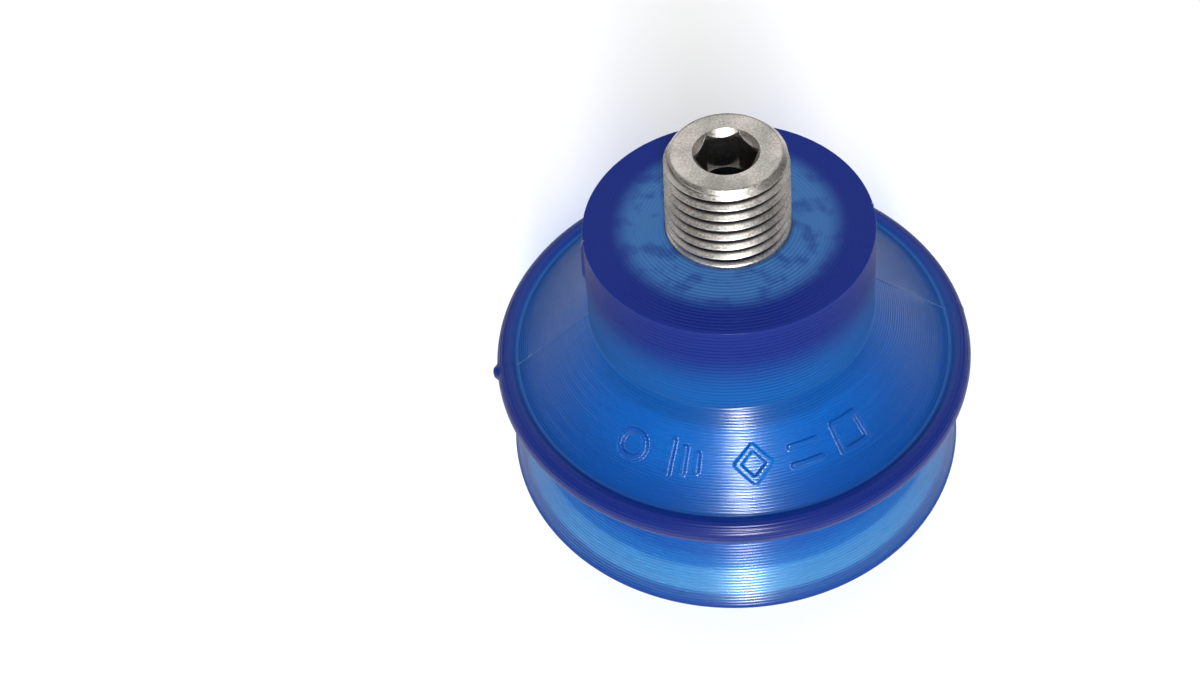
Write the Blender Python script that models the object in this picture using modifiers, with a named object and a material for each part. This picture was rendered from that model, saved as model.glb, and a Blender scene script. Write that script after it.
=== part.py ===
"""A bellows vacuum cup: a polyurethane cup with one and a half folds, moulded onto a threaded steel fitting.

The lip's sealing face lies on z = 0 and the cup's axis is +Z.  All lengths are in metres.
The cup is one moulding.  It is built as rings that follow its wall, so that its neck, fold, throat,
shoulder and lip can move apart and together, with thin walls between them that stretch and fold.
"""

import math

import bmesh
import bpy

MM = 0.001
TURN_STEPS = 60  # flats round every turned part
GAP = 0.3 * MM  # clearance between neighbouring solids

# Neck: the thick boss that holds the fitting
NECK_TOP_Z = 35.3 * MM
NECK_TOP_RADIUS = 16.2 * MM
NECK_FOOT_RADIUS = 16.6 * MM
CEILING_Z = 20.6 * MM  # underside of the neck, inside the cup

# Upper wall: a straight cone from the neck's foot to the fold
SHOULDER_Z = 23.3 * MM
SHOULDER_RADIUS = 16.7 * MM
CREASE_Z = 15.85 * MM
CREASE_RADIUS = 25.75 * MM
UPPER_WALL_HEIGHT = 2.5 * MM  # thickness, measured upright

# Fold: the rounded rim of the upper cone
BEAD_Z = 14.9 * MM
BEAD_RADIUS = 26.85 * MM
BEAD_TUBE_RADIUS = 1.45 * MM
BEAD_ARC_STEPS = 10
FOLD_INNER_RADIUS = 24.4 * MM

# Web: the wall that runs in and down from the fold to the throat
THROAT_Z = 10.5 * MM
THROAT_RADIUS = 20.2 * MM
WEB_SLOPE = 0.5  # rise for each unit outwards
WEB_HEIGHT = 1.9 * MM  # thickness, measured upright
THROAT_NOSE_RADIUS = 18.5 * MM

# Lip: a skirt that flares from the throat down to the sealing face
LIP_RADIUS = 27.9 * MM
LIP_EDGE_Z = 0.3 * MM  # height of the blunt outer rim
LIP_EDGE_WIDTH = 1.35 * MM  # width of the sealing face
LIP_TOP_WIDTH = 2.0 * MM  # wall width at the throat, measured level
LIP_BOW = 0.35 * MM  # how far the skirt bows outwards
THROAT_FOOT_Z = 9.5 * MM
LIP_SHOULDER_Z = (4.9 * MM, 6.2 * MM)
LIP_RING_TOP_Z = 1.4 * MM

# Fitting: 1/4 inch taper pipe thread, 18 turns to the inch
THREAD_PITCH = 25.4 * MM / 18
THREAD_TAPER = 1.0 / 32  # radius gained for each unit of length
THREAD_DEPTH = 1.0 * MM
THREAD_TURNS = 7
THREAD_BASE_RADIUS = 7.0 * MM
FITTING_TOP_Z = NECK_TOP_Z + 10.6 * MM
CHAMFER = 0.75 * MM
FLANGE_RADIUS = 11.3 * MM
FLANGE_TOP_Z = NECK_TOP_Z - 1.2 * MM
FLANGE_FOOT_Z = FLANGE_TOP_Z - 2.0 * MM
COLLAR_RADIUS = 7.4 * MM  # plain shank under the flange
BARB_RADIUS = 9.0 * MM
BARB_TOP_Z = 28.6 * MM
BARB_FOOT_Z = 26.2 * MM
SPIGOT_RADIUS = 5.5 * MM
SPIGOT_FOOT_Z = CEILING_Z - 1.2 * MM
PASSAGE_RADIUS = 2.9 * MM
SOCKET_ACROSS_FLATS = 6.0 * MM
SOCKET_DEPTH = 5.0 * MM
SOCKET_MOUTH_RADIUS = 3.6 * MM
SOCKET_MOUTH_DEPTH = 0.9 * MM
SOCKET_TURN = math.radians(3)

POLYURETHANE = ((0.02, 0.1, 0.55), 0.3, 0.0)
STEEL = ((0.62, 0.6, 0.57), 0.35, 1.0)


def clear_scene():
    """Remove every object, so that the file holds only this model."""
    for item in list(bpy.data.objects):
        bpy.data.objects.remove(item)


def new_collection(name):
    collection = bpy.data.collections.new(name)
    bpy.context.scene.collection.children.link(collection)
    return collection


def make_material(name, look):
    """A Principled material from (colour, roughness, metallic)."""
    colour, roughness, metallic = look
    material = bpy.data.materials.new(name)
    material.use_nodes = True
    shader = material.node_tree.nodes["Principled BSDF"]
    shader.inputs["Base Color"].default_value = (*colour, 1)
    shader.inputs["Roughness"].default_value = roughness
    shader.inputs["Metallic"].default_value = metallic
    material.diffuse_color = (*colour, 1)
    return material


def turned(collection, name, outline, look):
    """Turn a closed outline of (radius, height) points about Z.

    The outline starts at the top of the outer side and runs down it.
    """
    mesh = bpy.data.meshes.new(name)
    edges = [(i, (i + 1) % len(outline)) for i in range(len(outline))]
    mesh.from_pydata([(radius, 0, height) for radius, height in outline], edges, [])
    body = bpy.data.objects.new(name, mesh)
    collection.objects.link(body)
    body.data.materials.append(make_material(name, look))
    screw = body.modifiers.new("Turn", "SCREW")
    screw.steps = TURN_STEPS
    screw.render_steps = TURN_STEPS
    screw.use_merge_vertices = True
    screw.merge_threshold = 0.01 * MM
    screw.use_smooth_shade = True
    return body


def cone_height(radius):
    """Height of the upper wall's outer surface."""
    slope = (SHOULDER_Z - CREASE_Z) / (CREASE_RADIUS - SHOULDER_RADIUS)
    return SHOULDER_Z - slope * (radius - SHOULDER_RADIUS)


def web_height(radius):
    """Height of the web's lower surface."""
    return THROAT_Z + WEB_SLOPE * (radius - THROAT_RADIUS)


def lip_radius(height):
    """Outer radius of the skirt, a straight flare with a slight bow."""
    share = (THROAT_Z - height) / (THROAT_Z - LIP_EDGE_Z)
    straight = THROAT_RADIUS + share * (LIP_RADIUS - THROAT_RADIUS)
    return straight + LIP_BOW * math.sin(math.pi * min(max(share, 0), 1))


def lip_width(height):
    """Width of the skirt's wall, which thins towards the sealing face."""
    share = height / THROAT_Z
    return LIP_EDGE_WIDTH + share * (LIP_TOP_WIDTH - LIP_EDGE_WIDTH)


def fitting_side():
    """The fitting's outer side below the thread, from the flange's top down to the spigot's foot."""
    return [
        (FLANGE_RADIUS, FLANGE_TOP_Z),
        (FLANGE_RADIUS, FLANGE_FOOT_Z),
        (COLLAR_RADIUS, FLANGE_FOOT_Z),
        (COLLAR_RADIUS, BARB_TOP_Z),
        (BARB_RADIUS, BARB_TOP_Z),
        (SPIGOT_RADIUS, BARB_FOOT_Z),
    ]


def neck_boss(collection):
    """The boss closes round the fitting's flange and barb, and ends at the cup's ceiling."""
    side = fitting_side()
    throat = THREAD_BASE_RADIUS + GAP
    pocket = [
        (SPIGOT_RADIUS + GAP, CEILING_Z),
        (SPIGOT_RADIUS + GAP, BARB_FOOT_Z - GAP),
        (BARB_RADIUS + 1.5 * GAP, BARB_TOP_Z - GAP / 2),
        (BARB_RADIUS + 1.5 * GAP, BARB_TOP_Z + GAP),
        (COLLAR_RADIUS + GAP, BARB_TOP_Z + GAP),
        (COLLAR_RADIUS + GAP, FLANGE_FOOT_Z - GAP),
        (side[1][0] + GAP, FLANGE_FOOT_Z - GAP),
        (side[0][0] + GAP, FLANGE_TOP_Z + GAP),
        (throat, FLANGE_TOP_Z + GAP),
        (throat, NECK_TOP_Z),
    ]
    outer = [(NECK_TOP_RADIUS, NECK_TOP_Z), (NECK_FOOT_RADIUS, SHOULDER_Z), (NECK_FOOT_RADIUS, CEILING_Z)]
    return turned(collection, "neck_boss", outer + pocket, POLYURETHANE)


def upper_wall(collection):
    """The cone between the neck and the fold."""
    start = NECK_FOOT_RADIUS + GAP
    end = FOLD_INNER_RADIUS - GAP
    outline = [
        (start, cone_height(start)),
        (end, cone_height(end)),
        (end, cone_height(end) - UPPER_WALL_HEIGHT),
        (start, cone_height(start) - UPPER_WALL_HEIGHT),
    ]
    return turned(collection, "upper_wall", outline, POLYURETHANE)


def fold_bead(collection):
    """The rounded rim where the upper wall turns under into the web."""
    first = math.atan2(CREASE_Z - BEAD_Z, CREASE_RADIUS - BEAD_RADIUS)
    last = math.atan2(-1, WEB_SLOPE)
    arc = []
    for step in range(BEAD_ARC_STEPS + 1):
        angle = first + (last - first) * step / BEAD_ARC_STEPS
        radius = BEAD_RADIUS + BEAD_TUBE_RADIUS * math.cos(angle)
        arc.append((radius, BEAD_Z + BEAD_TUBE_RADIUS * math.sin(angle)))
    outline = [(FOLD_INNER_RADIUS, cone_height(FOLD_INNER_RADIUS))]
    outline += arc
    outline.append((FOLD_INNER_RADIUS, web_height(FOLD_INNER_RADIUS)))
    return turned(collection, "fold_bead", outline, POLYURETHANE)


def fold_web(collection):
    """The wall from the fold in to the throat."""
    start = FOLD_INNER_RADIUS - GAP
    end = THROAT_RADIUS + 2 * GAP
    outline = [
        (start, web_height(start) + WEB_HEIGHT),
        (start, web_height(start)),
        (end, web_height(end)),
        (end, web_height(end) + WEB_HEIGHT),
    ]
    return turned(collection, "fold_web", outline, POLYURETHANE)


def throat_ring(collection):
    """The narrow ring where the web turns down into the lip, with a rounded nose inside the cup."""
    top = web_height(THROAT_RADIUS) + WEB_HEIGHT
    rim = THROAT_RADIUS + GAP
    foot_inner = lip_radius(THROAT_FOOT_Z) - lip_width(THROAT_FOOT_Z)
    outline = [
        (rim, top),
        (rim, web_height(rim)),
        (lip_radius(THROAT_Z - GAP), THROAT_Z - GAP),
        (lip_radius(THROAT_FOOT_Z), THROAT_FOOT_Z),
        (foot_inner, THROAT_FOOT_Z),
        (THROAT_NOSE_RADIUS, THROAT_Z),
        (THROAT_NOSE_RADIUS, top - 1.0 * MM),
        (THROAT_NOSE_RADIUS + 0.6 * MM, top - 0.2 * MM),
    ]
    return turned(collection, "throat_ring", outline, POLYURETHANE)


def lip_band(collection, name, top, foot):
    """One level band of the skirt."""
    middle = (top + foot) / 2
    outer = [(lip_radius(z), z) for z in (top, middle, foot)]
    inner = [(lip_radius(z) - lip_width(z), z) for z in (foot, middle, top)]
    return turned(collection, name, outer + inner, POLYURETHANE)


def lip_edge(collection):
    """The lip's last ring, with the flat face that seals against the load."""
    top = LIP_RING_TOP_Z - GAP
    outline = [
        (lip_radius(top), top),
        (LIP_RADIUS, LIP_EDGE_Z),
        (LIP_RADIUS, 0),
        (LIP_RADIUS - LIP_EDGE_WIDTH, 0),
        (lip_radius(top) - lip_width(top), top),
    ]
    return turned(collection, "lip_edge", outline, POLYURETHANE)


def thread_side():
    """The thread's crests and roots, as level grooves, from the top chamfer down to the neck."""
    def crest(z):
        return THREAD_BASE_RADIUS - THREAD_TAPER * (z - NECK_TOP_Z)

    first = FITTING_TOP_Z - CHAMFER - 0.1 * MM
    side = [(crest(first) - CHAMFER, FITTING_TOP_Z), (crest(first), FITTING_TOP_Z - CHAMFER)]
    for turn in range(THREAD_TURNS):
        z = first - turn * THREAD_PITCH
        root = crest(z) - THREAD_DEPTH
        side.append((crest(z), z))
        side.append((root, z - 0.45 * THREAD_PITCH))
        side.append((root, z - 0.55 * THREAD_PITCH))
        side.append((crest(z), z - 0.95 * THREAD_PITCH))
    side.append((THREAD_BASE_RADIUS, FLANGE_TOP_Z))
    return side


def socket_cutter(collection):
    """A hexagonal prism that cuts the key socket."""
    mesh = bpy.data.meshes.new("socket_cutter")
    shape = bmesh.new()
    corner = SOCKET_ACROSS_FLATS / math.sqrt(3)
    bmesh.ops.create_cone(
        shape, cap_ends=True, segments=6, radius1=corner, radius2=corner, depth=2 * SOCKET_DEPTH
    )
    shape.to_mesh(mesh)
    shape.free()
    cutter = bpy.data.objects.new("socket_cutter", mesh)
    cutter.location = (0, 0, FITTING_TOP_Z)
    cutter.rotation_euler = (0, 0, math.radians(90) + SOCKET_TURN)
    cutter.hide_render = True
    cutter.display_type = "WIRE"
    collection.objects.link(cutter)
    return cutter


def threaded_fitting(collection, cutters):
    """The turned fitting: taper thread, flange, barb and spigot, with a key socket and a through passage."""
    bore = [
        (SPIGOT_RADIUS, SPIGOT_FOOT_Z),
        (PASSAGE_RADIUS, SPIGOT_FOOT_Z),
        (PASSAGE_RADIUS, FITTING_TOP_Z - SOCKET_MOUTH_DEPTH),
        (SOCKET_MOUTH_RADIUS, FITTING_TOP_Z),
    ]
    outline = thread_side() + fitting_side() + bore
    body = turned(collection, "threaded_fitting", outline, STEEL)
    cut = body.modifiers.new("Key socket", "BOOLEAN")
    cut.operation = "DIFFERENCE"
    cut.solver = "EXACT"
    cut.object = socket_cutter(cutters)
    return body


def build():
    clear_scene()
    cup = new_collection("bellows_vacuum_cup")
    cutters = new_collection("cutters")
    threaded_fitting(cup, cutters)
    neck_boss(cup)
    upper_wall(cup)
    fold_bead(cup)
    fold_web(cup)
    throat_ring(cup)
    shoulder_foot, shoulder_top = LIP_SHOULDER_Z
    lip_band(cup, "lip_upper_wall", THROAT_FOOT_Z - GAP, shoulder_top + GAP)
    lip_band(cup, "lip_shoulder", shoulder_top, shoulder_foot)
    lip_band(cup, "lip_lower_wall", shoulder_foot - GAP, LIP_RING_TOP_Z)
    lip_edge(cup)


build()
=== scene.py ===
"""Looks of the bellows vacuum cup: a translucent polyurethane moulding on a turned steel fitting."""

import math

import bpy
import numpy as np
from mathutils import Matrix, Vector


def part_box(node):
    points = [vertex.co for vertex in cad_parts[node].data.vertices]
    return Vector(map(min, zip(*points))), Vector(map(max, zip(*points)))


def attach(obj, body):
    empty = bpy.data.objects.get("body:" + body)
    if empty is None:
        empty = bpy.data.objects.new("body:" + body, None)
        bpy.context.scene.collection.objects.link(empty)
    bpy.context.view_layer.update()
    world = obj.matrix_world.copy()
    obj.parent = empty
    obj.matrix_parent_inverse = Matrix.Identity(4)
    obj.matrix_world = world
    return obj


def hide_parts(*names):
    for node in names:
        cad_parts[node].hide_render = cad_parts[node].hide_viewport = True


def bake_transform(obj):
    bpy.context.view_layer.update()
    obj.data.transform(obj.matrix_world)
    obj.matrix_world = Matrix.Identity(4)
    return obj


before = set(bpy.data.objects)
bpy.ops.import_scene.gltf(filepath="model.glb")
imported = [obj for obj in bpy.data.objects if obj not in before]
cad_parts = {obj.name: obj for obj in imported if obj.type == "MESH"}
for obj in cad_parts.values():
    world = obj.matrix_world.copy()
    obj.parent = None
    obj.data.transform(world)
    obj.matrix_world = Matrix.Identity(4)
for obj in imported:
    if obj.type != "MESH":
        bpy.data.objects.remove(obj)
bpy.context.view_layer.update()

MM = 0.001
JOINT = 0.012 * MM  # clearance where two pieces of the moulding meet
NEAR = 0.002 * MM  # two lengths closer than this are the same


# ---------------------------------------------------------------- sizes read from the frame

def top_of(node):
    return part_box(node)[1][2]


def foot_of(node):
    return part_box(node)[0][2]


def radius_of(node):
    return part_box(node)[1][0]


NECK_TOP = top_of("neck_boss")
CEILING = foot_of("neck_boss")
NECK_FOOT_RADIUS = radius_of("neck_boss")
NECK_RADIUS = NECK_FOOT_RADIUS - 0.4 * MM
FITTING_TOP = top_of("threaded_fitting")
SPIGOT_FOOT = foot_of("threaded_fitting")
FLANGE_RADIUS = radius_of("threaded_fitting")
BEAD_TUBE = 1.45 * MM
BEAD_RADIUS = radius_of("fold_bead") - BEAD_TUBE
LIP_RADIUS = radius_of("lip_edge")


# ---------------------------------------------------------------- sizes of the moulding

BEAD_Z = 14.9 * MM
CONE_TOP = (16.7 * MM, 23.3 * MM)
CREASE = (25.75 * MM, 15.85 * MM)
CONE_SLOPE = (CREASE[1] - CONE_TOP[1]) / (CREASE[0] - CONE_TOP[0])
CONE_HEIGHT = 2.5 * MM  # upright thickness of the cone's wall
FOLD_INNER = 24.4 * MM
THROAT = (20.2 * MM, 10.5 * MM)
WEB_SLOPE = 0.5
WEB_HEIGHT = 1.9 * MM
NOSE_RADIUS = 18.5 * MM
LIP_EDGE_Z = 0.3 * MM
LIP_EDGE_WIDTH = 1.35 * MM
LIP_TOP_WIDTH = 2.0 * MM
LIP_BOW = 0.35 * MM
LIP_PALE_Z = 3.9 * MM  # below this height the lip is pale; above it starts the painted shade under the bead
BEAD_SHADE_SOLID = 0.6  # painted shade under the bead: how cloudy and how deep in colour the skirt and the top of the lip are made
BEAD_SHADE_DEEP = 0.42
NECK_EDGE = 0.22 * MM  # rounding of the neck's top edge
NECK_FOOT_EDGE = 0.5 * MM
POCKET_GAP = 0.03 * MM  # between the moulding and the fitting that it grips
SKIRT_TOP = 9.5 * MM  # where the throat's piece ends and the skirt begins
LIP_TOP = 5.5 * MM  # where the skirt's piece ends and the lip begins
LOWER_COLUMNS = 288  # columns round the throat and the skirt
LIP_COLUMNS = 360

FRONT = 1.5 * math.pi  # the angle of the side that carries the raised signs
SEAM_TURN = math.radians(4)  # the mould's parting plane, turned from the X axis
SIGN_RADIUS = 21.4 * MM  # the middle of the raised signs, out from the axis
SIGN_HALF = 1.9  # half height of a sign, in millimetres like the next two
SIGN_STROKE = 0.42  # half width of a sign's line at its foot
SIGN_RAISE = 0.42


# ---------------------------------------------------------------- sizes of the fitting

PITCH = 25.4 * MM / 18
THREAD_BASE_RADIUS = 7.0 * MM
THREAD_TAPER = 1 / 32
THREAD_DEPTH = 1.0 * MM
THREAD_START = 0.75 * MM  # sets where the first groove meets the end face
THREAD_ROWS = 320
FITTING_COLUMNS = 240
FLANGE_TOP = NECK_TOP - 1.2 * MM
FLANGE_FOOT = FLANGE_TOP - 2.0 * MM
COLLAR_RADIUS = 7.4 * MM
BARB_RADIUS = 9.0 * MM
BARB_TOP = 28.6 * MM
BARB_FOOT = 26.2 * MM
SPIGOT_RADIUS = 5.5 * MM
PASSAGE_RADIUS = 2.9 * MM
SOCKET_FLATS = 6.0 * MM
SOCKET_DEPTH = 5.0 * MM
MOUTH_RADIUS = 3.6 * MM
MOUTH_DEPTH = 0.9 * MM
SOCKET_TURN = math.radians(3)
CHAMFER = 0.75 * MM


# ---------------------------------------------------------------- outlines of (radius, height)

def line(start, end, steps):
    """Points from start up to, but not including, end."""
    share = np.linspace(0, 1, steps + 1)[:-1, None]
    return [tuple(p) for p in np.array(start) + share * (np.array(end) - np.array(start))]


def arc(centre, radius, first, last, steps):
    """Points round a centre from one angle to another, in degrees."""
    angles = np.radians(np.linspace(first, last, steps + 1))
    return [(centre[0] + radius * math.cos(a), centre[1] + radius * math.sin(a)) for a in angles]


def rounded(outline, corner, radius, steps=5):
    """The outline with one corner, given by its number, rounded off."""
    before, at, after = (np.array(outline[(corner + k) % len(outline)]) for k in (-1, 0, 1))
    to_before = (before - at) / np.linalg.norm(before - at)
    to_after = (after - at) / np.linalg.norm(after - at)
    half = math.acos(float(np.clip(to_before @ to_after, -1, 1))) / 2
    reach = radius / math.tan(half)
    start, end = at + to_before * reach, at + to_after * reach
    share = np.linspace(0, 1, steps + 1)[:, None]
    curve = (1 - share) ** 2 * start + 2 * share * (1 - share) * at + share ** 2 * end
    return [tuple(p) for p in curve]


def cone_z(radius):
    return CONE_TOP[1] + CONE_SLOPE * (radius - CONE_TOP[0])


def web_z(radius):
    return THROAT[1] + WEB_SLOPE * (radius - THROAT[0])


def lip_radius(z):
    share = (THROAT[1] - z) / (THROAT[1] - LIP_EDGE_Z)
    straight = THROAT[0] + share * (LIP_RADIUS - THROAT[0])
    return straight + LIP_BOW * math.sin(math.pi * min(max(share, 0), 1))


def lip_width(z):
    return LIP_EDGE_WIDTH + (z / THROAT[1]) * (LIP_TOP_WIDTH - LIP_EDGE_WIDTH)


def smooth(share):
    """From 0 to 1 with a soft start and end; below 0 it stays 0 and above 1 it stays 1."""
    share = np.clip(share, 0, 1)
    return share * share * (3 - 2 * share)


def rise(value, start, width):
    """A soft step: 0 up to start, and 1 from start + width on."""
    return smooth((value - start) / width)


# ---------------------------------------------------------------- meshes

def turned_mesh(name, radii, heights, angles):
    """A closed body from a grid: one row for each point of the outline, one column for each angle."""
    rows, columns = radii.shape
    points = np.stack([radii * np.cos(angles), radii * np.sin(angles), heights], axis=-1).reshape(-1, 3)
    row, column = np.meshgrid(np.arange(rows), np.arange(columns), indexing="ij")
    below, right = (row + 1) % rows, (column + 1) % columns
    corners = [(row, column), (below, column), (below, right), (row, right)]
    faces = np.stack([r * columns + c for r, c in corners], axis=-1).reshape(-1, 4)
    mesh = bpy.data.meshes.new(name)
    mesh.from_pydata(points.tolist(), [], faces.tolist())
    mesh.validate()
    mesh.shade_smooth()
    piece = bpy.data.objects.new(name, mesh)
    bpy.context.scene.collection.objects.link(piece)
    return piece


def turn_outline(name, outline, angles, lift=None):
    """Turn an outline that runs down its outer side; lift(radius, height, angle) moves points outwards."""
    shape = np.array(outline)
    radii = np.repeat(shape[:, :1], len(angles), axis=1)
    heights = np.repeat(shape[:, 1:], len(angles), axis=1)
    if lift is not None:
        along = np.roll(shape, -1, axis=0) - np.roll(shape, 1, axis=0)
        along /= np.linalg.norm(along, axis=1)[:, None]
        amount = lift(radii, heights, np.repeat(angles[None], len(shape), axis=0))
        radii = radii - along[:, 1:] * amount
        heights = heights + along[:, :1] * amount
    return turned_mesh(name, radii, heights, angles)


def soften_edges(piece, count):
    """Shade smoothly across the edges between the piece's first points."""
    mesh = piece.data
    ends = np.empty(len(mesh.edges) * 2, np.int32)
    mesh.edges.foreach_get("vertices", ends)
    sharp = np.empty(len(mesh.edges), bool)
    mesh.attributes["sharp_edge"].data.foreach_get("value", sharp)
    sharp &= ends.reshape(-1, 2).max(axis=1) >= count
    mesh.attributes["sharp_edge"].data.foreach_set("value", sharp)


def even_angles(count):
    return np.arange(count) * 2 * math.pi / count


def follow_by(piece):
    """Bake the piece's place into its points."""
    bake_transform(piece)


def ring_places(piece):
    """The radius, angle and height of each of the piece's points."""
    x, y, z = np.array([v.co for v in piece.data.vertices]).T
    return np.hypot(x, y), np.arctan2(y, x), z


# ---------------------------------------------------------------- materials

class Nodes:
    """Short names for building a node tree."""

    def __init__(self, tree):
        self.tree = tree

    def add(self, kind, **settings):
        node = self.tree.nodes.new(kind)
        inputs = settings.pop("inputs", {})
        for key, value in settings.items():
            setattr(node, key, value)
        for key, value in inputs.items():
            self.put(node, key, value)
        return node

    def put(self, node, key, value):
        socket = node.inputs[key]
        if isinstance(value, bpy.types.NodeSocket):
            self.tree.links.new(value, socket)
        else:
            socket.default_value = value

    def math(self, operation, *values, clamp=False):
        node = self.add("ShaderNodeMath", operation=operation, use_clamp=clamp)
        for index, value in enumerate(values):
            self.put(node, index, value)
        return node.outputs[0]

    def ramp(self, factor, *stops):
        node = self.add("ShaderNodeValToRGB", inputs={"Fac": factor})
        elements = node.color_ramp.elements
        while len(elements) < len(stops):
            elements.new(0.5)
        for element, (position, colour) in zip(elements, stops):
            element.position = position
            element.color = (*colour, 1)
        return node.outputs["Color"]

    def noise(self, vector, scale, detail=2.0, roughness=0.5):
        node = self.add(
            "ShaderNodeTexNoise",
            inputs={"Vector": vector, "Scale": scale, "Detail": detail, "Roughness": roughness},
        )
        return node.outputs["Fac"]

    def blend(self, factor, first, second):
        node = self.add("ShaderNodeMix", data_type="RGBA", inputs={0: factor, 6: first, 7: second})
        return node.outputs[2]

    def value_of(self, name):
        """The number stored for each point of the piece under this name, or 0 where there is none."""
        return self.add("ShaderNodeAttribute", attribute_name=name).outputs["Fac"]

    def bump(self, height, strength, distance, normal=None):
        inputs = {"Height": height, "Strength": strength, "Distance": distance}
        if normal is not None:
            inputs["Normal"] = normal
        return self.add("ShaderNodeBump", inputs=inputs).outputs["Normal"]


def new_material(name):
    material = bpy.data.materials.new(name)
    material.use_nodes = True
    nodes = Nodes(material.node_tree)
    shader = material.node_tree.nodes["Principled BSDF"]
    return material, nodes, shader


def ring_coordinates(nodes):
    """(object position, radius from the axis, height) as sockets, in metres."""
    position = nodes.add("ShaderNodeTexCoord").outputs["Object"]
    split = nodes.add("ShaderNodeSeparateXYZ", inputs={"Vector": position}).outputs
    square = nodes.math("ADD", nodes.math("MULTIPLY", split["X"], split["X"]),
                        nodes.math("MULTIPLY", split["Y"], split["Y"]))
    return position, nodes.math("SQRT", square), split["Z"]


def turning_marks(nodes, radius, height, pitch):
    """Fine rings, as turning leaves them on a mould or a fitting, uneven in depth."""
    vector = nodes.add("ShaderNodeCombineXYZ", inputs={"X": radius, "Y": height}).outputs[0]
    along = nodes.math("ADD", radius, nodes.math("MULTIPLY", height, -0.83))  # down the cone's slope
    wave = nodes.math("SINE", nodes.math("MULTIPLY", along, 2 * math.pi / pitch))
    uneven = nodes.noise(vector, scale=2600.0, detail=1.0)
    return nodes.math("ADD", nodes.math("MULTIPLY", wave, 0.5), uneven)


def polyurethane():
    """Clear blue plastic: light passes its thin walls, and it turns a cloudy navy where it is thick.

    Values stored on the pieces say where it is cloudy (solid), dark (deep), dusty (frost) or pale, and
    where flash shows at the parting line. Under the bead, solid and deep also paint shade on the skirt and
    the lip's top.
    """
    material, nodes, glass = new_material("polyurethane_blue")
    position, radius, height = ring_coordinates(nodes)
    marks = turning_marks(nodes, radius, height, pitch=0.44 * MM)
    cloud = nodes.noise(position, scale=90.0, detail=3.0)
    speck = nodes.noise(position, scale=900.0)
    ragged = nodes.noise(position, scale=1500.0)
    deep = nodes.value_of("deep")
    solid = nodes.value_of("solid")
    frost = nodes.value_of("frost")
    pale = nodes.value_of("pale")
    broken = nodes.math("MULTIPLY_ADD", ragged, 2.4, -0.5, clamp=True)
    flash = nodes.math("MULTIPLY", nodes.value_of("flash"), broken)
    normal = nodes.bump(marks, strength=1.0, distance=0.034 * MM)
    haze = nodes.math("MULTIPLY_ADD", speck, 0.12, 0.42)

    # the clear plastic, with a soft gloss on its skin
    clear = nodes.ramp(cloud, (0.3, (0.12, 0.62, 0.83)), (0.7, (0.2, 0.7, 0.87)))
    nodes.put(glass, "Base Color", nodes.blend(pale, clear, (0.6, 0.72, 0.74, 1)))
    nodes.put(glass, "Roughness", haze)
    nodes.put(glass, "IOR", 1.48)
    nodes.put(glass, "Specular Tint", (0.05, 0.05, 0.05, 1))
    nodes.put(glass, "Transmission Weight", 1.0)
    nodes.put(glass, "Normal", normal)
    nodes.put(glass, "Coat Weight", 1.0)
    nodes.put(glass, "Coat Roughness", 0.2)
    nodes.put(glass, "Coat IOR", 1.65)
    nodes.put(glass, "Coat Normal", normal)

    # the cloudy plastic inside it, with dust and flash on top
    colour = nodes.ramp(deep, (0.0, (0.002, 0.1, 0.375)), (1.0, (0.006, 0.019, 0.175)))
    smudges = nodes.noise(position, scale=420.0, detail=3.0)
    smudges = nodes.ramp(smudges, (0.36, (0.5, 0.5, 0.5)), (0.5, (1, 1, 1)))
    dusty = nodes.math("MULTIPLY", frost, smudges)
    colour = nodes.blend(dusty, colour, (0.038, 0.13, 0.335, 1))
    colour = nodes.blend(flash, colour, (0.24, 0.29, 0.42, 1))
    body = nodes.add("ShaderNodeBsdfPrincipled", inputs={"Roughness": haze, "Specular IOR Level": 0.08})
    nodes.put(body, "Base Color", colour)
    nodes.put(body, "Normal", normal)
    least_cloud = nodes.math("MULTIPLY_ADD", pale, -0.14, 0.36)
    share = nodes.math("MULTIPLY_ADD", nodes.math("MAXIMUM", solid, flash), 0.54, least_cloud)
    plastic = nodes.add("ShaderNodeMixShader", inputs={0: share, 1: glass.outputs[0], 2: body.outputs[0]})

    # the faces between two pieces of the moulding bend no light
    unbent = {"Color": (1, 1, 1, 1), "Roughness": 0.15, "IOR": 1.0}
    unseen = nodes.add("ShaderNodeBsdfRefraction", inputs=unbent)
    joint = nodes.value_of("joint")
    plastic = nodes.add(
        "ShaderNodeMixShader", inputs={0: joint, 1: plastic.outputs[0], 2: unseen.outputs[0]}
    )

    # lamps shine through the walls with a blue tint
    through = nodes.add("ShaderNodeBsdfTransparent", inputs={"Color": (0.4, 0.74, 0.94, 1)})
    to_lamp = nodes.add("ShaderNodeLightPath").outputs["Is Shadow Ray"]
    surface = nodes.add(
        "ShaderNodeMixShader", inputs={0: to_lamp, 1: plastic.outputs[0], 2: through.outputs[0]}
    )
    tint = {"Color": (0.023, 0.7, 0.88, 1), "Density": 700.0}  # the density is for each metre
    depth = nodes.add("ShaderNodeVolumeAbsorption", inputs=tint)
    output = material.node_tree.nodes["Material Output"]
    nodes.put(output, "Surface", surface.outputs[0])
    nodes.put(output, "Volume", depth.outputs[0])
    return material


def set_values(piece, name, values):
    """Store one number for each point of the piece, for its material to read."""
    attribute = piece.data.attributes.new(name, "FLOAT", "POINT")
    attribute.data.foreach_set("value", np.asarray(values, np.float32).ravel())


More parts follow.
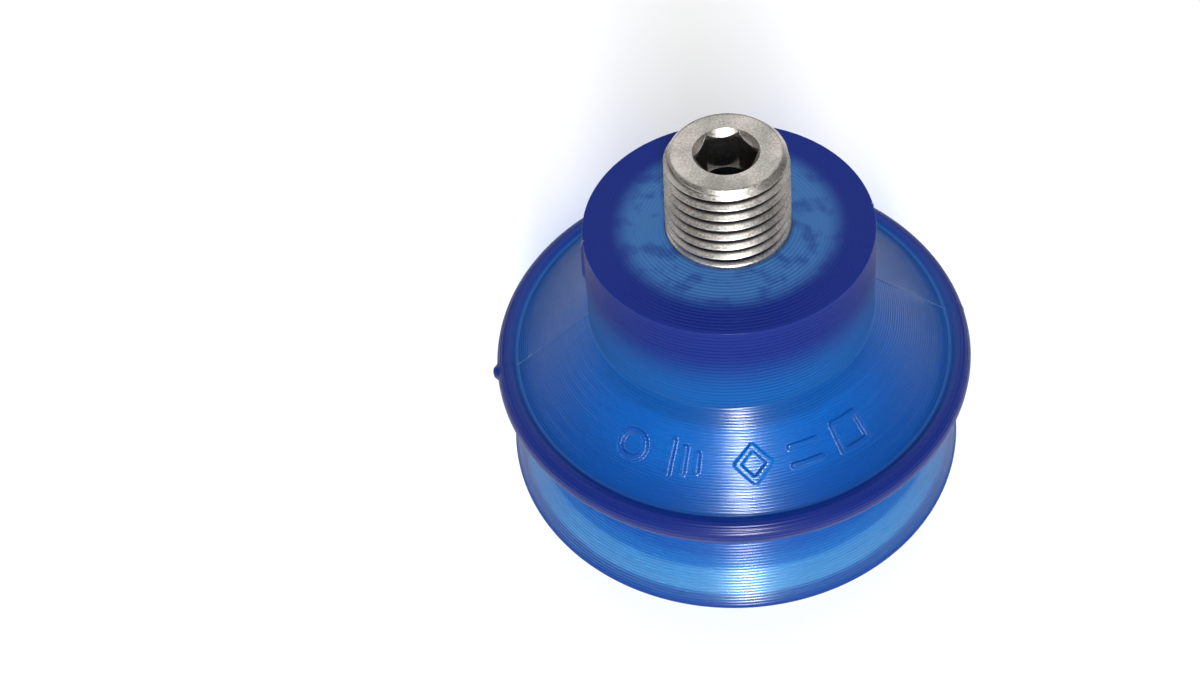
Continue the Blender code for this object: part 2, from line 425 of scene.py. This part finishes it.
def hide_joint(piece, at_joint):
    """Mark the end faces where the piece meets the next one, so that light passes them unbent."""
    mesh = piece.data
    corners = np.empty(len(mesh.loops), np.int32)
    mesh.loops.foreach_get("vertex_index", corners)
    at_joint = np.asarray(at_joint)[corners.reshape(-1, 4)].all(axis=1)
    attribute = mesh.attributes.new("joint", "FLOAT", "FACE")
    attribute.data.foreach_set("value", at_joint.astype(np.float32))
    sides = np.empty(len(mesh.loops), np.int32)
    mesh.loops.foreach_get("edge_index", sides)
    rim = np.bincount(sides.reshape(-1, 4)[at_joint].ravel(), minlength=len(mesh.edges)) == 1
    mesh.attributes.new("sharp_edge", "BOOLEAN", "EDGE").data.foreach_set("value", rim)


def steel():
    """Bright turned steel, dulled and scratched by handling, with painted shade at the bottom of the thread
    and down the socket.
    """
    material, nodes, shader = new_material("steel_turned")
    position, radius, height = ring_coordinates(nodes)
    marks = turning_marks(nodes, radius, height, pitch=0.16 * MM)
    patches = nodes.noise(position, scale=260.0)
    grain = nodes.noise(position, scale=4200.0)
    groove = nodes.value_of("groove")
    worn = nodes.math("ADD", nodes.math("MULTIPLY", patches, 0.55), nodes.math("MULTIPLY", grain, 0.45))
    dull, plain, rubbed = 0.36, 0.5, 0.62  # how worn the steel is at each stop of the ramps
    grey = nodes.ramp(
        worn, (dull, (0.44, 0.42, 0.385)), (plain, (0.66, 0.635, 0.59)), (rubbed, (0.90, 0.885, 0.86))
    )
    warm = nodes.ramp(
        worn, (dull, (0.44, 0.385, 0.34)), (plain, (0.67, 0.60, 0.54)), (rubbed, (0.90, 0.85, 0.80))
    )
    bright = nodes.blend(nodes.ramp(patches, (0.45, (0, 0, 0)), (0.6, (1, 1, 1))), grey, warm)
    # painted shade: the thread's roots and the socket below its mouth are darkened
    nodes.put(shader, "Base Color", nodes.blend(groove, bright, (0.035, 0.032, 0.034, 1)))
    nodes.put(shader, "Metallic", 1.0)
    nodes.put(shader, "Roughness", nodes.math("MULTIPLY_ADD", grain, 0.25, 0.24))
    scratches = nodes.math("MULTIPLY_ADD", marks, 0.5, grain)
    nodes.put(shader, "Normal", nodes.bump(scratches, strength=0.2, distance=0.012 * MM))
    return material


# ---------------------------------------------------------------- the moulding

def seam_distance(radii, angles):
    """How far a point lies from the mould's parting plane."""
    return radii * np.abs(np.sin(angles - SEAM_TURN))


def cup_angles():
    """Columns round the cup, close together over the raised signs and at the parting line."""
    front, signs_reach = math.degrees(FRONT), 46
    columns = np.concatenate([
        np.arange(0, 360, 2),
        np.arange(front - signs_reach, front + signs_reach, 0.35),
        *[side + math.degrees(SEAM_TURN) + np.linspace(-1, 1, 13) for side in (0, 180)],
    ]) % 360
    return np.radians(np.unique(np.round(columns, 3)))


def stroke(distance, half_width, height):
    """A raised line: full height on its middle, falling to nothing at its foot."""
    return height * smooth((half_width - distance) / (0.45 * half_width))


def to_segment(x, y, start, end):
    """Distance from each point to a straight segment."""
    start, end = np.array(start), np.array(end)
    along = end - start
    share = np.clip(((x - start[0]) * along[0] + (y - start[1]) * along[1]) / (along @ along), 0, 1)
    return np.hypot(x - start[0] - share * along[0], y - start[1] - share * along[1])


def to_figure(x, y, corners):
    """Distance from each point to a closed figure's outline."""
    pairs = zip(corners, corners[1:] + corners[:1])
    return np.min([to_segment(x, y, a, b) for a, b in pairs], axis=0)


def raised_signs(radii, angles):
    """Height of the plain signs on the front of the cone: a ring, ticks, a diamond, bars and a square."""
    slant = math.sqrt(1 + CONE_SLOPE ** 2)
    across = (angles - FRONT) * SIGN_RADIUS / MM  # places are in millimetres from the front's middle
    up = (SIGN_RADIUS - radii) * slant / MM
    half = SIGN_HALF
    ring = np.abs(np.hypot(across + 13.2, up) - 0.8 * half)
    ticks = [
        to_segment(across, up, (x, -length * half), (x, length * half))
        for x, length in ((-8.6, 1.0), (-7.1, 0.75), (-5.6, 0.5))
    ]
    diamond = to_figure(across, up, [(-1.2, 0), (0.6, half), (2.4, 0), (0.6, -half)])
    bars = [to_segment(across, up, (4.9, y * half), (8.0, y * half)) for y in (0.55, -0.55)]
    side = 0.85 * half
    square = to_figure(across, up, [(10.6, -side), (13.8, -side), (13.8, side), (10.6, side)])
    nearest = np.min([ring, *ticks, diamond, *bars, square], axis=0)
    return stroke(nearest, SIGN_STROKE, SIGN_RAISE) * MM


def upper_lift(radii, heights, angles):
    """How far the cone's raised signs and the parting line's ridge, fin and nub stand out."""
    on_cone = (heights > CREASE[1]) & (heights < CONE_TOP[1]) & (radii < CREASE[0] - 0.2 * MM)
    on_cone &= heights > cone_z(radii) - 0.5 * MM
    outside = (heights > BEAD_Z - BEAD_TUBE) & (radii > NECK_RADIUS - 0.3 * MM)
    outside &= heights > cone_z(radii) - 0.6 * MM
    seam = seam_distance(radii, angles)
    ridge = stroke(seam, half_width=0.16 * MM, height=0.06 * MM)
    on_left = np.cos(angles) < 0
    on_neck = (heights > 29.5 * MM) & (heights < 34.4 * MM) & (radii > NECK_RADIUS - 0.1 * MM)
    fin = np.where(on_neck & on_left, stroke(seam, half_width=0.4 * MM, height=0.3 * MM), 0)
    from_nub = np.hypot(seam, heights - BEAD_Z)
    nub = stroke(from_nub, half_width=0.9 * MM, height=0.45 * MM)
    nub = np.where(on_left & (radii > BEAD_RADIUS), nub, 0)
    signs = np.where(on_cone, raised_signs(radii, angles), 0)
    return np.where(outside, np.maximum(ridge, fin), 0) + signs + nub


def fitting_pocket(gap):
    """The fitting's side below the thread, from the spigot up, as the moulding grips it."""
    return [
        (SPIGOT_RADIUS + gap, CEILING),
        (SPIGOT_RADIUS + gap, BARB_FOOT),
        (BARB_RADIUS + gap, BARB_TOP - gap),
        (BARB_RADIUS + gap, BARB_TOP + gap),
        (COLLAR_RADIUS + gap, BARB_TOP + gap),
        (COLLAR_RADIUS + gap, FLANGE_FOOT - gap),
        (FLANGE_RADIUS + gap, FLANGE_FOOT - gap),
        (FLANGE_RADIUS + gap, FLANGE_TOP + gap),
        (THREAD_BASE_RADIUS + gap, FLANGE_TOP + gap),
    ]


def upper_outline():
    """Down the outside from the neck's top to the fold, and back up the inside along the fitting."""
    neck_mouth, neck_top = (THREAD_BASE_RADIUS, NECK_TOP), (NECK_RADIUS, NECK_TOP)
    neck_foot = (NECK_FOOT_RADIUS, CONE_TOP[1])
    edge = rounded([neck_mouth, neck_top, neck_foot], 1, radius=NECK_EDGE)
    foot = rounded([neck_top, neck_foot, CREASE], 1, radius=NECK_FOOT_EDGE, steps=6)
    crease_angle = math.degrees(math.atan2(CREASE[1] - BEAD_Z, CREASE[0] - BEAD_RADIUS))
    web_angle = math.degrees(math.atan2(-1, WEB_SLOPE))
    bead = arc((BEAD_RADIUS, BEAD_Z), BEAD_TUBE, crease_angle - 6, web_angle, 30)
    crease = (bead[0][0] - 0.12 * MM, bead[0][1] - 0.02 * MM)
    over_signs = [(r, cone_z(r)) for r in (SIGN_RADIUS - 2.0 * MM, SIGN_RADIUS + 1.9 * MM)]
    wall_foot = (FOLD_INNER, web_z(FOLD_INNER))
    wall_top = (FOLD_INNER, cone_z(FOLD_INNER) - CONE_HEIGHT)
    ceiling_rim = NECK_FOOT_RADIUS + 0.6 * MM
    under_cone = (ceiling_rim, cone_z(ceiling_rim) - CONE_HEIGHT)
    spigot = (SPIGOT_RADIUS, CEILING)

    outline = line((THREAD_BASE_RADIUS + 0.4 * MM, NECK_TOP), edge[0], 24)
    outline += edge + line(edge[-1], foot[0], 16)[1:]
    outline += foot + line(foot[-1], over_signs[0], 12)[1:]
    outline += line(*over_signs, 54) + line(over_signs[1], crease, 12)
    outline += [crease] + bead
    outline += line(bead[-1], wall_foot, 5)[1:]
    outline += line(wall_foot, wall_top, 4)
    outline += line(wall_top, under_cone, 16)
    outline += rounded([wall_top, under_cone, spigot], 1, radius=0.8 * MM)
    outline += line((NECK_FOOT_RADIUS - 1.2 * MM, CEILING), (SPIGOT_RADIUS + 0.3 * MM, CEILING), 10)
    outline += fitting_pocket(POCKET_GAP)
    outline.append((THREAD_BASE_RADIUS + POCKET_GAP, NECK_TOP - 0.12 * MM))
    outline.append((THREAD_BASE_RADIUS + 0.15 * MM, NECK_TOP))
    return outline


def cup_upper(material):
    """Neck, cone and fold, in one piece from the neck's top down to the fold."""
    piece = turn_outline("cup_upper", upper_outline(), cup_angles(), upper_lift)
    piece.data.materials.append(material)
    radii, angles, heights = ring_places(piece)
    in_neck = rise(heights, CONE_TOP[1] - 0.6 * MM, 1.2 * MM)
    in_bead = rise(radii, CREASE[0] - 0.1 * MM, 0.5 * MM)
    up_neck = rise(heights, CONE_TOP[1] + 1.2 * MM, 7.5 * MM)
    on_top = rise(heights, NECK_TOP - 0.3 * MM, 0.2 * MM)
    off_flange = rise(radii, FLANGE_RADIUS - 0.9 * MM, 3.0 * MM)
    set_values(piece, "solid", np.maximum(in_neck * (0.7 + 0.3 * up_neck), 0.6 * in_bead))
    set_values(piece, "deep", np.maximum(up_neck, in_bead))
    set_values(piece, "frost", on_top * (1 - off_flange))

    # flash along the parting line, and a rubbed patch across it on the right side of the cone
    seam = seam_distance(radii, angles)
    outside = rise(heights, cone_z(radii) - 0.6 * MM, 0.3 * MM)
    outside *= radii > NECK_RADIUS - 0.2 * MM
    fading = 0.6 + 0.25 * np.sin((radii + heights) / (1.1 * MM)) - 0.8 * in_bead
    on_line = np.clip(fading, 0, 1) * smooth(1.5 - seam / (0.12 * MM))
    rubbed = 0.4 * smooth(1.3 - seam / (1.1 * MM)) * (np.cos(angles) > 0)
    rubbed *= rise(radii, 18.5 * MM, 1.5 * MM) * (1 - rise(radii, 22.5 * MM, 1.5 * MM))
    set_values(piece, "flash", outside * np.maximum(on_line, rubbed))

    wall_top = cone_z(FOLD_INNER) - CONE_HEIGHT
    hide_joint(piece, (np.abs(radii - FOLD_INNER) < NEAR) & (heights < wall_top + NEAR))
    follow_by(piece)
    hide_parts("neck_boss", "upper_wall", "fold_bead")
    return piece


def cup_throat(material):
    """The web and the throat, under the fold."""
    rim_foot = (FOLD_INNER - JOINT, web_z(FOLD_INNER - JOINT))
    rim_top = (FOLD_INNER - JOINT, cone_z(FOLD_INNER) - CONE_HEIGHT)
    foot_outer = (lip_radius(SKIRT_TOP), SKIRT_TOP)
    foot_inner = (lip_radius(SKIRT_TOP) - lip_width(SKIRT_TOP), SKIRT_TOP)
    top = web_z(THROAT[0]) + WEB_HEIGHT
    nose_foot, nose_top = (NOSE_RADIUS, THROAT[1] + 0.2 * MM), (NOSE_RADIUS, top - 0.5 * MM)
    nose = [foot_inner, nose_foot, nose_top, (THROAT[0], top)]
    past_nose = THROAT[0] + 0.6 * MM

    outline = line(rim_foot, THROAT, 14)[:-1]
    outline += rounded([rim_foot, THROAT, foot_outer], 1, radius=0.25 * MM)
    outline += line(foot_outer, foot_inner, 4)
    outline += [foot_inner]
    outline += rounded(nose, 1, radius=1.2 * MM, steps=6)
    outline += rounded(nose, 2, radius=0.9 * MM, steps=6)
    outline += line((past_nose, web_z(past_nose) + WEB_HEIGHT), rim_top, 12)
    outline += line(rim_top, rim_foot, 4)
    piece = turn_outline("cup_throat", outline, even_angles(LOWER_COLUMNS))
    piece.data.materials.append(material)
    radii, _, heights = ring_places(piece)
    hide_joint(piece, (np.abs(radii - rim_foot[0]) < NEAR) | (np.abs(heights - SKIRT_TOP) < NEAR))
    follow_by(piece)
    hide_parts("fold_web", "throat_ring")
    return piece


def skirt_outline(top, foot, steps):
    """A band of the lip's skirt, open at both ends: its outer side down, then its inner side up."""
    heights = np.linspace(top, foot, steps + 1)
    outer = [(lip_radius(z), z) for z in heights]
    inner = [(lip_radius(z) - lip_width(z), z) for z in heights[::-1]]
    return outer, inner


def cup_skirt(material):
    """The skirt's upper band, from the throat to the shoulder."""
    top, foot = SKIRT_TOP - JOINT, LIP_TOP
    outer, inner = skirt_outline(top, foot, 16)
    outline = outer + line(outer[-1], inner[0], 3)[1:] + inner + line(inner[-1], outer[0], 3)[1:]
    piece = turn_outline("cup_skirt", outline, even_angles(LOWER_COLUMNS))
    piece.data.materials.append(material)
    _, _, heights = ring_places(piece)
    # painted shade under the bead: the whole band is made cloudier and deeper in colour
    set_values(piece, "solid", np.full(len(heights), BEAD_SHADE_SOLID))
    set_values(piece, "deep", np.full(len(heights), BEAD_SHADE_DEEP))
    hide_joint(piece, (np.abs(heights - top) < NEAR) | (np.abs(heights - foot) < NEAR))
    follow_by(piece)
    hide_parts("lip_upper_wall")
    return piece


def cup_lip(material):
    """The skirt's lower band and the sealing edge."""
    top = LIP_TOP - JOINT
    outer, inner = skirt_outline(top, LIP_EDGE_Z + 0.3 * MM, 30)
    face_inner = (LIP_RADIUS - LIP_EDGE_WIDTH, 0)
    rim = [outer[-1], (LIP_RADIUS, LIP_EDGE_Z), (LIP_RADIUS, 0), face_inner, inner[0]]
    outline = outer[:-1]
    outline += rounded(rim, 1, radius=0.1 * MM, steps=3)
    outline += rounded(rim, 2, radius=0.1 * MM, steps=3)
    outline += line((LIP_RADIUS - 0.15 * MM, 0), face_inner, 6)[1:]
    outline += rounded(rim, 3, radius=0.15 * MM, steps=3)
    outline += inner + line(inner[-1], outer[0], 3)[1:]
    piece = turn_outline("cup_lip", outline, even_angles(LIP_COLUMNS))
    piece.data.materials.append(material)
    radii, _, heights = ring_places(piece)
    hide_joint(piece, np.abs(heights - top) < NEAR)
    at_edge = 1 - rise(heights, 0.5 * MM, 0.5 * MM)
    near_top = rise(heights, LIP_PALE_Z, 0.7 * MM)
    # painted shade under the bead on the lip's top, above LIP_PALE_Z
    set_values(piece, "pale", (1 - at_edge) * (1 - near_top))
    set_values(piece, "solid", 0.95 * at_edge + BEAD_SHADE_SOLID * near_top)
    set_values(piece, "deep", 0.85 * at_edge + BEAD_SHADE_DEEP * near_top)

    follow_by(piece)
    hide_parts("lip_shoulder", "lip_lower_wall", "lip_edge")
    return piece


# ---------------------------------------------------------------- the fitting

def crest_radius(z):
    return THREAD_BASE_RADIUS - THREAD_TAPER * (z - NECK_TOP)


def thread_grid(angles):
    """Rows of the right-hand taper thread, from the end face down to the neck, with their groove depth."""
    heights = np.linspace(FITTING_TOP, NECK_TOP - 0.4 * MM, THREAD_ROWS)[:, None]
    turn = (angles - FRONT)[None] / (2 * math.pi)
    phase = ((heights - FITTING_TOP + THREAD_START) / PITCH - turn) % 1
    from_root = np.abs(phase - 0.5) * 2  # 0 at the root, 1 at the crest
    root_end, crest_start = 0.1, 0.93
    depth = THREAD_DEPTH * np.clip((crest_start - from_root) / (crest_start - root_end), 0, 1)
    depth = depth * rise(heights, NECK_TOP + 0.15 * MM, 0.5 * MM)
    depth = depth * (0.35 + 0.65 * rise(FITTING_TOP - heights, 0, 0.9 * MM))
    chamfer = crest_radius(heights) - np.clip(CHAMFER - (FITTING_TOP - heights), 0, 1)
    radii = np.minimum(crest_radius(heights) - depth, chamfer)
    return radii, np.repeat(heights, len(angles), axis=1), depth / THREAD_DEPTH


def socket_grid(angles):
    """Rows of the passage and the key socket, from the spigot's foot up to the mouth."""
    floor, mouth_foot = FITTING_TOP - SOCKET_DEPTH, FITTING_TOP - MOUTH_DEPTH
    heights = np.concatenate([
        np.linspace(SPIGOT_FOOT, floor, 24),
        np.linspace(floor + 0.01 * MM, mouth_foot, 12),
        np.linspace(mouth_foot, FITTING_TOP, 16)[1:],
    ])[:, None]
    from_flat = (angles - SOCKET_TURN) % (math.pi / 3) - math.pi / 6
    hexagon = SOCKET_FLATS / 2 / np.cos(from_flat)
    mouth = MOUTH_RADIUS - (FITTING_TOP - heights) * (MOUTH_RADIUS - PASSAGE_RADIUS) / MOUTH_DEPTH
    radii = np.maximum(np.where(heights > floor, hexagon, PASSAGE_RADIUS), mouth)
    return radii, np.repeat(heights, len(angles), axis=1)


def plain_grid(outline, columns):
    """Rows of a round surface: the outline's radii and heights, the same in every column."""
    return [np.repeat(values[:, None], columns, axis=1) for values in np.array(outline).T]


def fitting(material):
    """The turned fitting with its helical thread, hex socket, flange, barb and spigot."""
    angles = SOCKET_TURN + even_angles(FITTING_COLUMNS)
    thread, thread_z, groove = thread_grid(angles)
    socket, socket_z = socket_grid(angles)
    corners = [
        (THREAD_BASE_RADIUS, FLANGE_TOP),
        (FLANGE_RADIUS, FLANGE_TOP),
        (FLANGE_RADIUS, FLANGE_FOOT),
        (COLLAR_RADIUS, FLANGE_FOOT),
        (COLLAR_RADIUS, BARB_TOP),
        (BARB_RADIUS, BARB_TOP),
        (SPIGOT_RADIUS, BARB_FOOT),
        (SPIGOT_RADIUS, SPIGOT_FOOT),
        (PASSAGE_RADIUS, SPIGOT_FOOT),
    ]
    below = [point for start, end in zip(corners, corners[1:]) for point in line(start, end, 4)]
    face_rim = crest_radius(FITTING_TOP) - CHAMFER
    face = line((MOUTH_RADIUS + 0.02 * MM, FITTING_TOP), (face_rim, FITTING_TOP), 8)
    side, side_z = plain_grid(below, FITTING_COLUMNS)
    face, face_z = plain_grid(face, FITTING_COLUMNS)
    radii = np.concatenate([thread, side, socket, face])
    heights = np.concatenate([thread_z, side_z, socket_z, face_z])
    piece = turned_mesh("fitting", radii, heights, angles)
    # painted shade in the thread's roots and down the socket, stored under the name groove
    root_shade = rise(groove, 0.3, 0.35)
    dark = 0.8 * rise(FITTING_TOP - socket_z, 0.75 * MM, 0.2 * MM)
    set_values(piece, "groove", np.concatenate([root_shade, np.zeros_like(side), dark, np.zeros_like(face)]))
    piece.data.set_sharp_from_angle(angle=math.radians(35))
    soften_edges(piece, thread.size)
    piece.data.materials.append(material)
    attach(piece, "neck")
    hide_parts("threaded_fitting")
    return piece


# ---------------------------------------------------------------- floor, light and camera

FLOOR_Z = -4.3 * MM
BACKDROP = 0.97  # brightness of what the camera sees behind the cup


def plain_floor():
    """A pale floor, low enough that the lip stays clear of it when it tilts."""
    bpy.ops.mesh.primitive_plane_add(size=1.6, location=(0, 0, 0))
    floor = bpy.context.object
    floor.name = "floor"
    floor.location.z = FLOOR_Z
    material, nodes, shader = new_material("floor_white")
    nodes.put(shader, "Base Color", (0.93, 0.93, 0.93, 1))
    nodes.put(shader, "Roughness", 0.9)
    nodes.put(shader, "Specular IOR Level", 0.1)
    floor.data.materials.append(material)


def soft_world():
    """A studio that is light overhead and behind and dark in front, against a plain pale backdrop."""
    world = bpy.data.worlds.new("soft_studio")
    bpy.context.scene.world = world
    world.use_nodes = True
    nodes = Nodes(world.node_tree)
    direction = nodes.add("ShaderNodeTexCoord").outputs["Generated"]
    split = nodes.add("ShaderNodeSeparateXYZ", inputs={"Vector": direction}).outputs
    back = nodes.math("MULTIPLY_ADD", split["Y"], 0.5, 0.5)
    shades = [(place, (grey,) * 3) for place, grey in ((0.15, 0.05), (0.5, 0.15), (0.9, 0.92))]
    colour = nodes.ramp(back, *shades)
    above = nodes.math("MULTIPLY_ADD", split["Z"], 1.9, -0.2)
    above = nodes.math("MINIMUM", nodes.math("MAXIMUM", above, 0.07), 1.0)
    seen = nodes.add("ShaderNodeLightPath").outputs["Is Camera Ray"]
    background = world.node_tree.nodes["Background"]
    nodes.put(background, "Color", nodes.blend(seen, colour, (BACKDROP, BACKDROP, BACKDROP, 1)))
    nodes.put(background, "Strength", nodes.math("MAXIMUM", above, seen))


def area_light(name, azimuth, elevation, distance, size, power):
    """A rectangular soft light that points at the cup's middle."""
    light = bpy.data.lights.new(name, "AREA")
    light.shape = "RECTANGLE"
    light.size, light.size_y = size
    light.energy = power
    lamp = bpy.data.objects.new(name, light)
    bpy.context.scene.collection.objects.link(lamp)
    a, e = math.radians(azimuth), math.radians(elevation)
    direction = Vector((math.sin(a) * math.cos(e), -math.cos(a) * math.cos(e), math.sin(e)))
    aim = Vector((0, 0, 20 * MM))
    lamp.location = aim + direction * distance
    lamp.rotation_euler = (-direction).to_track_quat("-Z", "Y").to_euler()


def studio_camera():
    """From the front, looking down, with a slight lean to the left."""
    elevation, roll = math.radians(49.66), math.radians(-4.5)
    aim, distance = Vector((-7.4 * MM, 0, 16.6 * MM)), 184.5 * MM
    forward = Vector((0, math.cos(elevation), -math.sin(elevation)))
    level, steep = Vector((1, 0, 0)), Vector((0, math.sin(elevation), math.cos(elevation)))
    right = level * math.cos(roll) + steep * math.sin(roll)
    up = steep * math.cos(roll) - level * math.sin(roll)
    data = bpy.data.cameras.new("camera")
    data.lens = 46.39
    data.sensor_width = 36
    data.shift_x = -0.0583
    data.clip_start = 0.005
    camera = bpy.data.objects.new("camera", data)
    bpy.context.scene.collection.objects.link(camera)
    turn = Matrix((right, up, -forward)).transposed()
    camera.matrix_world = Matrix.Translation(aim - forward * distance) @ turn.to_4x4()
    bpy.context.scene.camera = camera


blue = polyurethane()
metal = steel()
cup_upper(blue)
cup_throat(blue)
cup_skirt(blue)
cup_lip(blue)
fitting(metal)
plain_floor()
soft_world()
area_light("strip", azimuth=0, elevation=40, distance=2.4, size=(0.32, 1.87), power=94.0)
studio_camera()
bpy.context.scene.view_settings.view_transform = "Standard"
